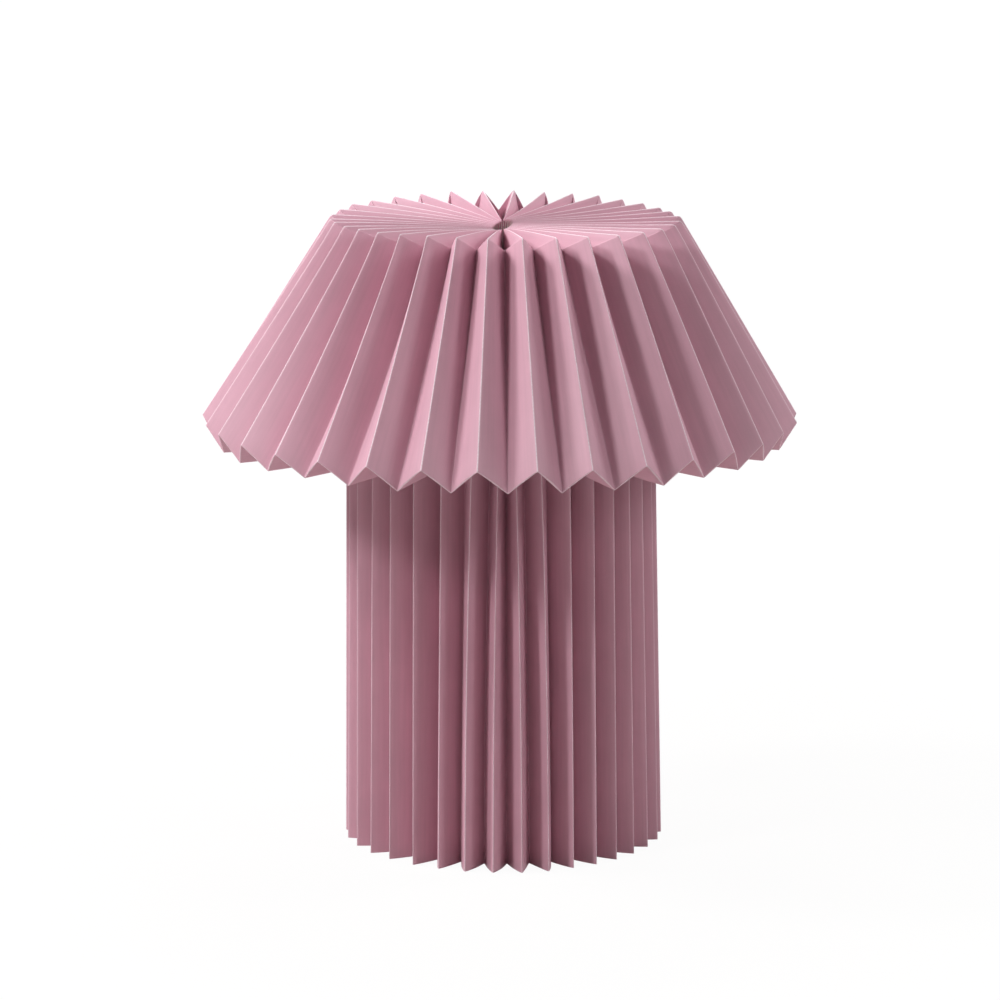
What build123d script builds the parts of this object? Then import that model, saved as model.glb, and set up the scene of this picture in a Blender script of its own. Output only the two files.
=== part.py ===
from build123d import *
from itertools import pairwise
from math import asin, cos, degrees, pi, sin, sqrt
import os

# A table lamp of two pleated paper sheets: a mushroom shade over a tall sleeve.
# Millimetres, +Z up, origin on the table at the middle of the lamp, front towards -Y.

# Pleats, the same on both sheets
pleats = 34
panel_width = 27.2
paper = 0.4

# Shade, given by the ridge folds
lamp_height = 486.0
shoulder_radius = 134.0
hem_radius = 229.0
hem_height = 331.0
hem_bevel = 10.0
hem_return = 56.0
lip_rise = 4.0
dish_drop = 7.0
centre_hole_radius = 9.0
tuck_run = 33.0
shade_turn = -1.0
return_steps = 2
skirt_steps = 4
top_steps = 4
tie_radius = 15.0
tie_thread = 0.6
tie_depth = 17.0

# Sheets that the shade and the sleeve each go round in, and the folded strips inside the seams
sheets = 4
strip_width = 5.0
strip_ends = 10.0

# Sleeve, given by the ridge folds
sleeve_foot_radius = 125.0
sleeve_top_radius = 119.0
sleeve_height = 350.0

# Wire rings inside the folds, and the spiders that they sit on
wire = 1.5
shade_ring_radius = 97.0
spider_sheet = 2.0
spider_arms = 4
spider_first_arm = 45.0
arm_width = 10.0
arm_overhang = 4.0
arm_bend = 8.0
arm_rise_start = 6.0
arm_pad = 16.0
tab_width = 6.0
tab_height = 2.4
tab_sheet = 1.5

# Base
felt = 2.0
base_height = 22.0
base_wall = 1.2
base_edge = 5.0
weight_radius = 78.0
weight_height = 14.0
weight_edge = 2.0
recess_radius = 17.0
recess_depth = 8.0
channel_width = 10.0

# Cord grommet in the back of the base
cord_bore = 3.25
grommet_neck = 5.0
grommet_flange = 7.0
grommet_outside = 2.5
grommet_inside = 2.0
notch_margin = 1.5

# Stem
pipe_radius = 5.0
pipe_bore = 3.5
pipe_spare = 2.0
nut_width = 14.0
nut_height = 4.0
washer_radius = 14.0
washer_height = 1.5
cover_radius = 8.0
cover_wall = 1.5
bush_flange = 1.5
bush_boss = 6.0
spider_hub_radius = 16.0

# Lampholder for a 27 mm screw cap
holder_cap_height = 24.0
holder_cap_floor = 4.0
holder_cap_foot = 13.0
holder_wall = 2.0
holder_radius = 19.75
holder_skirt_height = 36.0
holder_skirt_wall = 3.0
holder_lip = 3.0
holder_flange_radius = 23.0
holder_flange = 3.0
insert_height = 12.0
shell_height = 22.0
shell_wall = 0.5
contact_sheet = 0.6
contact_width = 6.0
contact_rise = 2.4
terminal_radius = 1.75
terminal_head = 3.0
terminal_head_height = 2.0
terminal_length = 7.0
terminal_offset = 9.0
shade_hub_radius = 29.0
clamp_radius = 27.0
clamp_height = 8.0
clamp_flutes = 24
clamp_flute_radius = 1.2

# Bulb
bulb_cap_radius = 13.0
bulb_cap_height = 21.5
bulb_cap_wall = 0.4
bulb_tip_radius = 4.5
bulb_tip_height = 1.5
insulator_height = 4.0
insulator_tip_radius = 6.0
collar_height = 34.0
collar_radius = 26.5
collar_wall = 1.5
globe_radius = 30.0
globe_wall = 1.0
bulb_clearance = 26.8

# Clearances
sliding = 0.3
running = 0.4
thread_gap = 0.15
seat_gap = 0.1
sleeve_gap = 0.6
glue_gap = 0.25

half_pitch = pi / pleats

# Ridges where sheets meet, from the left of the front one
seams = [pleats * number // sheets - pleats // (2 * sheets) for number in range(sheets + 1)]


# Plain forms about the lamp's axis
def disc(radius, low, high):
    return Pos(0, 0, low) * extrude(Circle(radius), high - low)


def tube(radius, bore, low, high):
    return Pos(0, 0, low) * extrude(Circle(radius) - Circle(bore), high - low)


def turned(*outline):
    return revolve(Plane.XZ * make_face(Polyline(*outline, close=True)), Axis.Z)


def hex_nut(low):
    blank = RegularPolygon(nut_width / 2, 6, major_radius=False)
    return Pos(0, 0, low) * extrude(blank - Circle(pipe_radius + thread_gap), nut_height)


# Pleated sheets. A sheet is a row of stations along its folds. A station is half of one pleat
# in section: ridge and valley on the outer side, then ridge and valley on the inner side.
def on_meridian(profile, angle):
    return Vector(profile.X * cos(angle), profile.X * sin(angle), profile.Y)


def valley_beside(ridge, inward):
    # The valley lies half a pitch round from the ridge, one panel width away
    spread = 1 - cos(half_pitch)
    slope = ridge.X * inward.X * spread
    depth = sqrt(slope**2 + panel_width**2 - 2 * spread * ridge.X**2) - slope
    return ridge + inward * depth


def skin(ridge, valley):
    # How far the paper's own thickness fills a fold, from the ridge towards the valley
    depth = (valley - ridge).length
    half_gap = valley.X * sin(half_pitch)
    return (valley - ridge).normalized() * (paper * (panel_width - depth / 2) / (half_gap - paper))


def section(ridge, valley, outer_valley=None, inner_ridge=None, inner_valley=None):
    fill = skin(ridge, valley)
    inner_valley = inner_valley or valley
    return (
        on_meridian(ridge, asin(paper / 2 / ridge.X)),
        on_meridian(outer_valley or valley - fill, half_pitch),
        on_meridian(inner_ridge or ridge + fill, 0),
        on_meridian(inner_valley, half_pitch - asin(paper / 2 / inner_valley.X)),
    )


def facet(*corners):
    return Face(Wire.make_polygon(corners))


def panel(a, b, c, d):
    # Two triangles between folds, or one where both ends share a ridge
    return [facet(a, b, c)] if a == d else [facet(a, b, c), facet(a, c, d)]


def flat(*corners):
    # The narrow flat along a fold, which runs out to a point where the fold comes to an edge
    apart = [a for a, b in zip(corners, (*corners[1:], corners[0])) if (a - b).length > 1e-6]
    return [facet(*apart)] if len(apart) > 2 else []


def other_side(point):
    return Vector(point.X, -point.Y, point.Z)


def next_ridge(point):
    return other_side(point).rotate(Axis.Z, degrees(2 * half_pitch))


def mirrored(stations):
    return [[other_side(point) for point in station] for station in stations]


def pleat(stations):
    # From one ridge down to the valley and up to the next ridge
    faces = []
    for side in (Vector, next_ridge):
        halves = [[side(point) for point in station] for station in stations]
        for (ro, vo, ri, vi), (ro2, vo2, ri2, vi2) in pairwise(halves):
            faces += panel(ro, vo, vo2, ro2)
            faces += panel(ri, vi, vi2, ri2)
        for ro, vo, ri, vi in (halves[0], halves[-1]):
            faces += panel(ro, vo, vi, ri)
    for (_, vo, _, vi), (_, vo2, _, vi2) in pairwise(stations):
        faces += flat(vo, next_ridge(vo), next_ridge(vo2), vo2)
        faces += flat(vi, next_ridge(vi), next_ridge(vi2), vi2)
    for _, vo, _, vi in (stations[0], stations[-1]):
        faces += flat(vo, next_ridge(vo), next_ridge(vi), vi)
    return faces


def ridge_fold(stations):
    faces = []
    for (ro, _, ri, _), (ro2, _, ri2, _) in pairwise(stations):
        faces += flat(ro, other_side(ro), other_side(ro2), ro2)
        faces += flat(ri, other_side(ri), other_side(ri2), ri2)
    for ro, _, ri, _ in (stations[0], stations[-1]):
        faces += flat(ro, other_side(ro), other_side(ri), ri)
    return faces


def cut_edge(stations):
    # Half a ridge, where the sheet stops against the other sheet
    cuts = [(ro, Vector(ro.X, 0, ro.Z), Vector(ri.X, 0, ri.Z), ri) for ro, _, ri, _ in stations]
    faces = flat(*cuts[0]) + flat(*cuts[-1])
    for cut, cut2 in pairwise(cuts):
        for (a, b), (a2, b2) in zip(pairwise(cut), pairwise(cut2)):
            faces += flat(a, b, b2, a2)
    return faces


def at_ridge(number, faces):
    turn = Rot(0, 0, degrees(2 * half_pitch * number) - 90)
    return [turn * face for face in faces]


def pleated_sheet(stations, number):
    first, last = seams[number : number + 2]
    faces = at_ridge(first, cut_edge(stations)) + at_ridge(last, cut_edge(mirrored(stations)))
    for ridge in range(first, last):
        faces += at_ridge(ridge, pleat(stations))
    for ridge in range(first + 1, last):
        faces += at_ridge(ridge, ridge_fold(stations))
    return Solid(Shell(faces))


def strip_layer(stations, gap):
    # One side of a strip folded along a ridge, at this distance under the facets of the paper
    share = strip_width / panel_width
    folds = [
        (ri, vi, (Vector(vi.X, 0, vi.Z) - ri).normalized() * (gap * (vi - ri).length / vi.Y))
        for _, _, ri, vi in stations
    ]
    return [
        (
            ri + inward,
            ri + (vi - ri) * share + inward,
            ri + (vi2 - ri) * share + inward,
            ri2 + (vi2 - ri2) * share + inward2,
            ri2 + inward2,
        )
        for (ri, vi, inward), (ri2, vi2, inward2) in pairwise(folds)
    ]


def seam_strips(stations):
    near, far = strip_layer(stations, glue_gap), strip_layer(stations, glue_gap + paper)
    strips = []
    for seam in seams[1:]:
        faces = []
        for side in (near, far), (mirrored(near), mirrored(far)):
            for (a, b, c, d, e), (a2, b2, c2, d2, e2) in zip(*side):
                faces += [facet(a, b, c), *panel(a, c, d, e), facet(a2, b2, c2), *panel(a2, c2, d2, e2)]
                faces += panel(b, c, c2, b2) + panel(c, d, d2, c2)
            first, last = [layer[0] for layer in side], [layer[-1] for layer in side]
            faces.append(facet(first[0][0], first[0][1], first[1][1], first[1][0]))
            faces.append(facet(last[0][4], last[0][3], last[1][3], last[1][4]))
        strips.append(Solid(Shell(at_ridge(seam, faces))))
    return Compound(strips)


# Folds of the shade in profile, as radius and height
shoulder = Vector(shoulder_radius, lamp_height)
hem = Vector(hem_radius, hem_height)
centre = Vector(centre_hole_radius, lamp_height - dish_drop)
skirt_run = hem - shoulder
skirt_way = skirt_run.normalized()
skirt_inward = Vector(skirt_way.Y, -skirt_way.X)
top_run = centre - shoulder
top_way = top_run.normalized()
top_inward = Vector(-top_way.Y, top_way.X)


def skirt_folds(share):
    ridge = shoulder + skirt_run * share
    return ridge, valley_beside(ridge + skirt_way * hem_bevel * share, skirt_inward)


def top_folds(share):
    ridge = shoulder + top_run * share
    return ridge, valley_beside(ridge + top_way * tuck_run * (1 - share), top_inward)


hem_valley = skirt_folds(1)[1]
lip_valley = skirt_folds(0)[1] - skirt_way * lip_rise
tuck_valley = top_folds(0)[1]
centre_valley = top_folds(1)[1]
tuck_inside = tuck_valley + Vector(2 * paper, 0)


def return_section(share):
    # Past the hem the sheet runs level with its outer side down, so its ridges lie over its valleys
    valley = hem_valley - Vector(hem_return * share, 0)
    ridge = valley_beside(valley, Vector(0, 1))
    fill = skin(ridge, valley)
    return (
        on_meridian(ridge + fill, 0),
        on_meridian(valley, half_pitch - asin(paper / 2 / valley.X)),
        on_meridian(ridge, asin(paper / 2 / ridge.X)),
        on_meridian(valley - fill, half_pitch),
    )


def hem_section():
    # The zigzag fold where the skirt turns in
    down = skin(hem, hem_valley).length / -skirt_way.Y
    across = Vector(down, 0)
    return section(
        hem + skirt_way * down,
        hem_valley,
        outer_valley=hem_valley + across,
        inner_ridge=hem - across,
        inner_valley=hem_valley - skirt_way * down,
    )


def skirt_stations():
    return [section(*skirt_folds(1 - i / skirt_steps)) for i in range(1, skirt_steps)]


def shade_stations():
    # The skirt turns over a lip into the tuck, and the tuck turns back into the top
    under_nose = shoulder + skin(shoulder, lip_valley) + skin(shoulder, tuck_valley)
    lip_inside = lip_valley + skirt_way * 2 * paper
    turned_in = [return_section(1 - i / return_steps) for i in range(return_steps)]
    lip = section(shoulder, lip_valley, inner_ridge=under_nose, inner_valley=lip_inside)
    tuck = section(shoulder, tuck_valley, inner_ridge=under_nose, inner_valley=tuck_inside)
    top = [section(*top_folds((i + 1) / top_steps)) for i in range(top_steps)]
    return [*turned_in, hem_section(), *skirt_stations(), lip, tuck, *top]


def shade_sheet(number):
    return Rot(0, 0, shade_turn) * pleated_sheet(shade_stations(), number)


def shade_sheet_front():
    return shade_sheet(0)


def shade_sheet_right():
    return shade_sheet(1)


def shade_sheet_back():
    return shade_sheet(2)


def shade_sheet_left():
    return shade_sheet(3)


def shade_seam_strips():
    return Rot(0, 0, shade_turn) * seam_strips(skirt_stations())


def top_valley_height(radius):
    # Under the outermost panels of the top
    low = top_folds(1 / top_steps)[1]
    share = (radius - low.X) / (tuck_inside.X - low.X)
    return low.Y + (tuck_inside.Y - low.Y) * share


# Folds of the sleeve in profile
def sleeve_valley(height):
    share = height / sleeve_height
    radius = sleeve_foot_radius + (sleeve_top_radius - sleeve_foot_radius) * share
    return valley_beside(Vector(radius, height), Vector(-1, 0))


def sleeve_section(height):
    share = height / sleeve_height
    radius = sleeve_foot_radius + (sleeve_top_radius - sleeve_foot_radius) * share
    return section(Vector(radius, height), sleeve_valley(height))


# Heights down from the shade's folds through the bulb and its holder
globe_rise = sqrt(globe_radius**2 - collar_radius**2)
collar_top = centre_valley.Y - bulb_clearance - globe_radius - globe_rise
cap_top = collar_top - collar_height
cap_low = cap_top - bulb_cap_height
tip_top = cap_low - insulator_height
bulb_low = tip_top - bulb_tip_height
insert_top = bulb_low - seat_gap - contact_rise
skirt_low = insert_top - insert_height
hub_low = skirt_low + holder_flange
holder_low = skirt_low - holder_cap_height
holder_floor = holder_low + holder_cap_floor
sleeve_spider_low = holder_low - spider_sheet
cover_top = sleeve_spider_low - bush_flange

# Heights up the base
base_top = felt + base_height
weight_top = base_top - base_wall
weight_low = weight_top - weight_height
recess_top = weight_low + recess_depth
cord_height = weight_low + recess_depth / 2
base_radius = sleeve_valley(0).X - sleeve_gap
cover_low = base_top + bush_flange
pipe_low = recess_top - washer_height - nut_height - pipe_spare
pipe_top = holder_floor + nut_height + pipe_spare
pipe_hole = pipe_radius + thread_gap

sleeve_ring_height = holder_low + seat_gap + wire
sleeve_ring_radius = sleeve_valley(sleeve_ring_height).X - seat_gap - wire
shade_ring_height = top_valley_height(shade_ring_radius) - seat_gap - wire
shade_pad_top = shade_ring_height - wire - seat_gap


def sleeve_sheet(number):
    return pleated_sheet([sleeve_section(0), sleeve_section(sleeve_height)], number)


def sleeve_sheet_front():
    return sleeve_sheet(0)


def sleeve_sheet_right():
    return sleeve_sheet(1)


def sleeve_sheet_back():
    # Arched way out for the cord, under the rear hem
    half_width = grommet_flange + notch_margin
    arch = Pos(0, cord_height / 2) * Rectangle(2 * half_width, cord_height)
    arch += Pos(0, cord_height) * Circle(half_width)
    return sleeve_sheet(2) - extrude(Plane.XZ * arch, -2 * sleeve_foot_radius)


def sleeve_sheet_left():
    return sleeve_sheet(3)


def sleeve_seam_strips():
    return seam_strips([sleeve_section(strip_ends), sleeve_section(sleeve_height - strip_ends)])


def sleeve_ring():
    return Pos(0, 0, sleeve_ring_height) * Torus(sleeve_ring_radius, wire)


def shade_ring():
    return Pos(0, 0, shade_ring_height) * Torus(shade_ring_radius, wire)


def shade_tie():
    return Pos(0, 0, centre.Y - tie_depth) * Torus(tie_radius, tie_thread)


# Base
def base_shell():
    pan = disc(base_radius, felt, base_top)
    pan = fillet(pan.edges().group_by(Axis.Z)[-1], base_edge)
    hollow = disc(base_radius - base_wall, felt, weight_top)
    hollow = fillet(hollow.edges().group_by(Axis.Z)[-1], base_edge - base_wall)
    hole = Pos(0, 0, cord_height) * Rot(-90, 0, 0) * Cylinder(
        grommet_neck + thread_gap, 2 * base_radius, align=(Align.CENTER, Align.CENTER, Align.MIN)
    )
    return pan - hollow - disc(pipe_hole, weight_top, base_top) - hole


def base_weight():
    slug = disc(weight_radius, weight_low, weight_top)
    slug = chamfer(slug.edges().group_by(Axis.Z)[0], weight_edge)
    channel = Rectangle(channel_width, weight_radius, align=(Align.CENTER, Align.MIN))
    recess = Pos(0, 0, weight_low) * extrude(Circle(recess_radius) + channel, recess_depth)
    return slug - recess - disc(pipe_hole, recess_top, weight_top)


def base_felt():
    return disc(base_radius - base_wall, 0, felt)


def cord_grommet():
    # Turned about the cord's axis, with the base wall held between its two flanges
    wall_in = base_wall + sliding
    profile = [
        (cord_bore, grommet_outside),
        (grommet_flange, grommet_outside),
        (grommet_flange, 0),
        (grommet_neck, 0),
        (grommet_neck, -wall_in),
        (grommet_flange, -wall_in),
        (grommet_flange, -wall_in - grommet_inside),
        (cord_bore, -wall_in - grommet_inside),
    ]
    return Pos(0, base_radius, cord_height) * Rot(-90, 0, 0) * turned(*profile)


def base_washer():
    return tube(washer_radius, pipe_hole, recess_top - washer_height, recess_top)


def base_nut():
    return hex_nut(recess_top - washer_height - nut_height)


# Stem
def lamp_pipe():
    return tube(pipe_radius, pipe_bore, pipe_low, pipe_top)


def stem_cover():
    return tube(cover_radius, cover_radius - cover_wall, cover_low, cover_top)


def stem_bushes():
    boss = cover_radius - cover_wall - thread_gap
    lower = turned(
        (pipe_hole, base_top),
        (cover_radius, base_top),
        (cover_radius, cover_low),
        (boss, cover_low),
        (boss, cover_low + bush_boss),
        (pipe_hole, cover_low + bush_boss),
    )
    middle = Plane.XY.offset((base_top + sleeve_spider_low) / 2)
    return Compound([lower, mirror(lower, about=middle)])


# Spiders. A tab lanced out of each arm keeps the ring on its seat.
def around(piece):
    return [Rot(0, 0, spider_first_arm + 360 / spider_arms * i) * piece for i in range(spider_arms)]


def lanced_tab(ring_radius, seat):
    face = ring_radius - wire - sliding
    tab = Pos(face, 0, seat) * Box(tab_sheet, tab_width, tab_height, align=(Align.MAX, Align.CENTER, Align.MIN))
    window = Pos(face - tab_sheet, 0, seat) * Box(
        tab_height, tab_width, 2 * spider_sheet, align=(Align.MAX, Align.CENTER, Align.CENTER)
    )
    return tab, window


def sleeve_spider():
    reach = sleeve_ring_radius + wire
    arm = Rectangle(reach, arm_width, align=(Align.MIN, Align.CENTER))
    blank = Circle(spider_hub_radius) + around(arm) - Circle(pipe_hole)
    tab, window = lanced_tab(sleeve_ring_radius, holder_low)
    plate = Pos(0, 0, sleeve_spider_low) * extrude(blank, spider_sheet)
    return plate - around(window) + around(tab)


def shade_spider():
    hub_bore = holder_radius + sliding
    hub = tube(shade_hub_radius, hub_bore, hub_low, hub_low + spider_sheet)
    hub_middle = hub_low + spider_sheet / 2
    pad_middle = shade_pad_top - spider_sheet / 2
    reach = shade_ring_radius + wire + arm_overhang
    path = Plane.XZ * FilletPolyline(
        (hub_bore + spider_sheet, hub_middle),
        (shade_hub_radius + arm_rise_start, hub_middle),
        (reach - arm_pad, pad_middle),
        (reach, pad_middle),
        radius=arm_bend,
    )
    strip = Plane(path @ 0, x_dir=(0, 1, 0), z_dir=path % 0) * Rectangle(arm_width, spider_sheet)
    tab, window = lanced_tab(shade_ring_radius, shade_pad_top)
    arm = sweep(strip, path=path) - window + tab
    return hub + around(arm)


# Lampholder
def holder_cap():
    inside = holder_radius - holder_wall
    shoulder_height = (holder_floor + skirt_low) / 2
    return turned(
        (pipe_hole, holder_low),
        (holder_cap_foot, holder_low),
        (holder_radius, shoulder_height),
        (holder_radius, skirt_low),
        (inside, skirt_low),
        (inside, shoulder_height + holder_wall),
        (holder_cap_foot - holder_wall, holder_floor),
        (pipe_hole, holder_floor),
    )


def holder_nut():
    return hex_nut(holder_floor)


def holder_skirt():
    inside = holder_radius - holder_skirt_wall
    mouth = bulb_cap_radius + running + shell_wall + sliding
    top = skirt_low + holder_skirt_height
    return turned(
        (inside, skirt_low),
        (holder_flange_radius, skirt_low),
        (holder_flange_radius, hub_low),
        (holder_radius, hub_low),
        (holder_radius, top),
        (mouth, top),
        (mouth, top - holder_lip),
        (inside, top - holder_lip),
    )


def terminals(radius, low, high):
    post = disc(radius, low, high)
    return [Pos(offset, 0, 0) * post for offset in (-terminal_offset, terminal_offset)]


def holder_insert():
    block = disc(holder_radius - holder_skirt_wall - sliding, skirt_low, insert_top)
    heads = terminals(terminal_head + thread_gap, skirt_low, skirt_low + terminal_head_height)
    shanks = terminals(terminal_radius + thread_gap, skirt_low, skirt_low + terminal_length)
    return block - heads - shanks


def terminal_screws():
    heads = terminals(terminal_head, skirt_low, skirt_low + terminal_head_height)
    shanks = terminals(terminal_radius, skirt_low, skirt_low + terminal_length)
    return Compound([head + shank for head, shank in zip(heads, shanks)])


def screw_shell():
    bore = bulb_cap_radius + running
    return tube(bore + shell_wall, bore, insert_top, insert_top + shell_height)


def centre_contact():
    # A bent spring tongue, riveted flat at one end and raised under the bulb's tip
    foot = bulb_cap_radius - running
    bend = foot / 2
    top = contact_rise - contact_sheet
    tongue = Polyline(
        (-foot, 0),
        (-bend, 0),
        (-bulb_tip_radius / 2, top),
        (bulb_tip_radius, top),
        (bulb_tip_radius, contact_rise),
        (-bulb_tip_radius / 2, contact_rise),
        (-bend, contact_sheet),
        (-foot, contact_sheet),
        close=True,
    )
    strip = extrude(Plane.XZ * make_face(tongue), contact_width / 2, both=True)
    return Pos(0, 0, insert_top) * strip


def shade_clamp_ring():
    low = hub_low + spider_sheet
    ring = tube(clamp_radius, holder_radius + thread_gap, low, low + clamp_height)
    flutes = PolarLocations(clamp_radius, clamp_flutes) * disc(clamp_flute_radius, low, low + clamp_height)
    return ring - flutes


# Bulb
def bulb_contact():
    return disc(bulb_tip_radius, bulb_low, tip_top)


def bulb_insulator():
    return turned((0, tip_top), (insulator_tip_radius, tip_top), (bulb_cap_radius, cap_low), (0, cap_low))


def bulb_cap():
    return tube(bulb_cap_radius, bulb_cap_radius - bulb_cap_wall, cap_low, cap_top)


def bulb_collar():
    foot = bulb_cap_radius
    return turned(
        (foot - collar_wall, cap_top),
        (foot, cap_top),
        (collar_radius, collar_top),
        (collar_radius - collar_wall, collar_top),
    )


def bulb_globe():
    # A ball cut where it meets the collar
    ball = Sphere(globe_radius) - Sphere(globe_radius - globe_wall)
    dome = split(ball, Plane.XY.offset(-globe_rise), keep=Keep.TOP)
    return Pos(0, 0, collar_top + globe_rise) * dome


pieces = [
    shade_sheet_front,
    shade_sheet_right,
    shade_sheet_back,
    shade_sheet_left,
    shade_seam_strips,
    shade_ring,
    shade_tie,
    sleeve_sheet_front,
    sleeve_sheet_right,
    sleeve_sheet_back,
    sleeve_sheet_left,
    sleeve_seam_strips,
    sleeve_ring,
    base_shell,
    base_weight,
    base_felt,
    cord_grommet,
    base_washer,
    base_nut,
    lamp_pipe,
    stem_cover,
    stem_bushes,
    sleeve_spider,
    shade_spider,
    shade_clamp_ring,
    holder_cap,
    holder_nut,
    holder_skirt,
    holder_insert,
    terminal_screws,
    screw_shell,
    centre_contact,
    bulb_contact,
    bulb_insulator,
    bulb_cap,
    bulb_collar,
    bulb_globe,
]

os.makedirs("parts", exist_ok=True)
for piece in pieces:
    export_step(piece(), f"parts/{piece.__name__}.step")
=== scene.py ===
import math

import bmesh
import bpy
import numpy as np
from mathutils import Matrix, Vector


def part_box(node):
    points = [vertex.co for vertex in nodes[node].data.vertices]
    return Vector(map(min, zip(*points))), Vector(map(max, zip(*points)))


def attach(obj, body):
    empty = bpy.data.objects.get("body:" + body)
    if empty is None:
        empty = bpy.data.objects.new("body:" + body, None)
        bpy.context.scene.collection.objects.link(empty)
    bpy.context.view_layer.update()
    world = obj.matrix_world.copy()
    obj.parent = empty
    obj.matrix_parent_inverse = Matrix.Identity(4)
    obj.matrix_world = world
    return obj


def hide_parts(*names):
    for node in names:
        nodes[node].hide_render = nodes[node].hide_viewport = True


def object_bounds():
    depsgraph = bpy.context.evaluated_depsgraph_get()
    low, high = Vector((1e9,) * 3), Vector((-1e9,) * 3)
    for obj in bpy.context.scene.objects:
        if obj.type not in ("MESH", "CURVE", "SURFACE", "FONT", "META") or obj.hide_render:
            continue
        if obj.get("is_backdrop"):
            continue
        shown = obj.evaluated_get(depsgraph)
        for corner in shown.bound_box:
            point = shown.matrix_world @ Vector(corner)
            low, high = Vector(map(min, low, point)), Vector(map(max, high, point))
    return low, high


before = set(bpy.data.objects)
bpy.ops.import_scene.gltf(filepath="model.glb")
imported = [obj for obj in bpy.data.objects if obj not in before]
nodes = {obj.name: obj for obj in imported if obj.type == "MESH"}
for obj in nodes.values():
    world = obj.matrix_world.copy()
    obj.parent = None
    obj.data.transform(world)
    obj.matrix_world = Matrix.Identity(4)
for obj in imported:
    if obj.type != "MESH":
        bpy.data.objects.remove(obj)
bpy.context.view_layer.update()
scene = bpy.context.scene
scene.view_settings.view_transform = "Standard"
mm = 0.001
print("frame: %d CAD nodes" % len(nodes))

# The lamp is seen from far off and a little above, almost from the front
view = {
    "away": 3.386,      # metres along the floor from the lamp's middle
    "height": 0.9785,
    "left": 0.002,      # the camera stands this far to the left of the lamp's axis
    "pitch": 11.93,     # degrees down
    "round": 3.5,       # degrees round from the front, towards +X
    "lens": 160.85,     # mm, as the sensor's width
    "sensor": 36.0,
    "farthest": 100.0,  # metres
}

turn = math.radians(view["round"])
cameraData = bpy.data.cameras.new("camera")
cameraData.lens = view["lens"]
cameraData.sensor_width = view["sensor"]
cameraData.clip_end = view["farthest"]
camera = bpy.data.objects.new("camera", cameraData)
camera.location = (
    view["away"] * math.sin(turn) - view["left"] * math.cos(turn),
    -view["away"] * math.cos(turn) - view["left"] * math.sin(turn),
    view["height"],
)
camera.rotation_euler = (math.radians(90 - view["pitch"]), 0, turn)
scene.collection.objects.link(camera)
scene.camera = camera
print("camera: placed")


# sRGB hex to the linear colour that Blender works in
def colour(code):
    parts = np.array([int(code[i : i + 2], 16) for i in (1, 3, 5)]) / 255
    linear = np.where(parts <= 0.04045, parts / 12.92, ((parts + 0.055) / 1.055) ** 2.4)
    return (*linear.tolist(), 1.0)


# Adds a node, sets its properties and input values, and links other nodes' outputs into it
def addNode(tree, kind, values=None, links=None, **settings):
    node = tree.nodes.new(kind)
    for key, value in settings.items():
        setattr(node, key, value)
    for key, value in (values or {}).items():
        node.inputs[key].default_value = value
    for key, source in (links or {}).items():
        tree.links.new(source, node.inputs[key])
    return node


# One sum on numbers and other nodes' outputs
def sumOf(tree, operation, *terms):
    values = {i: term for i, term in enumerate(terms) if isinstance(term, float)}
    links = {i: term for i, term in enumerate(terms) if i not in values}
    return addNode(tree, "ShaderNodeMath", values, links, operation=operation).outputs[0]


# A node's output carried from one range to another
def ranged(tree, source, old, new, **settings):
    ends = dict(zip(("From Min", "From Max", "To Min", "To Max"), (*old, *new)))
    return addNode(tree, "ShaderNodeMapRange", ends, {"Value": source}, **settings).outputs[0]


# Two tones mixed by a noise of this grain, mm along each of the object's axes; gives the noise and the colour
def twoTones(tree, tones, grain, detail):
    place = addNode(tree, "ShaderNodeTexCoord")
    finer = {"Scale": tuple(1 / (step * mm) for step in grain)}
    space = addNode(tree, "ShaderNodeMapping", finer, {"Vector": place.outputs["Object"]})
    noise = {"Scale": 1.0, "Detail": detail}
    speckle = addNode(tree, "ShaderNodeTexNoise", noise, {"Vector": space.outputs[0]}).outputs[0]
    ends = {"A": colour(tones[0]), "B": colour(tones[1])}
    tone = addNode(tree, "ShaderNodeMix", ends, {"Factor": speckle}, data_type="RGBA")
    return speckle, tone.outputs["Result"]


def newMaterial(name):
    material = bpy.data.materials.new(name)
    material.use_nodes = True
    material.node_tree.nodes.clear()
    return material, material.node_tree


# Mesh from a block of points and a block of quads, both whole arrays; corners holds each quad's UVs in order
def addPiece(name, points, quads, materials, body, materialIndex=None, corners=None, sharp=55):
    mesh = bpy.data.meshes.new(name)
    mesh.vertices.add(len(points))
    mesh.vertices.foreach_set("co", np.ascontiguousarray(points, np.float32).ravel())
    mesh.loops.add(quads.size)
    mesh.loops.foreach_set("vertex_index", quads.astype(np.int32).ravel())
    mesh.polygons.add(len(quads))
    mesh.polygons.foreach_set("loop_start", np.arange(0, quads.size, 4, dtype=np.int32))
    for material in materials:
        mesh.materials.append(material)
    if materialIndex is not None:
        mesh.polygons.foreach_set("material_index", materialIndex.astype(np.int32))
    mesh.update(calc_edges=True)
    if corners is not None:
        layer = mesh.uv_layers.new(name="flat")
        layer.uv.foreach_set("vector", np.ascontiguousarray(corners, np.float32).ravel())
    mesh.polygons.foreach_set("use_smooth", np.ones(len(quads), bool))
    mesh.set_sharp_from_angle(angle=math.radians(sharp))
    piece = bpy.data.objects.new(name, mesh)
    scene.collection.objects.link(piece)
    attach(piece, body)
    return piece


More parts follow.
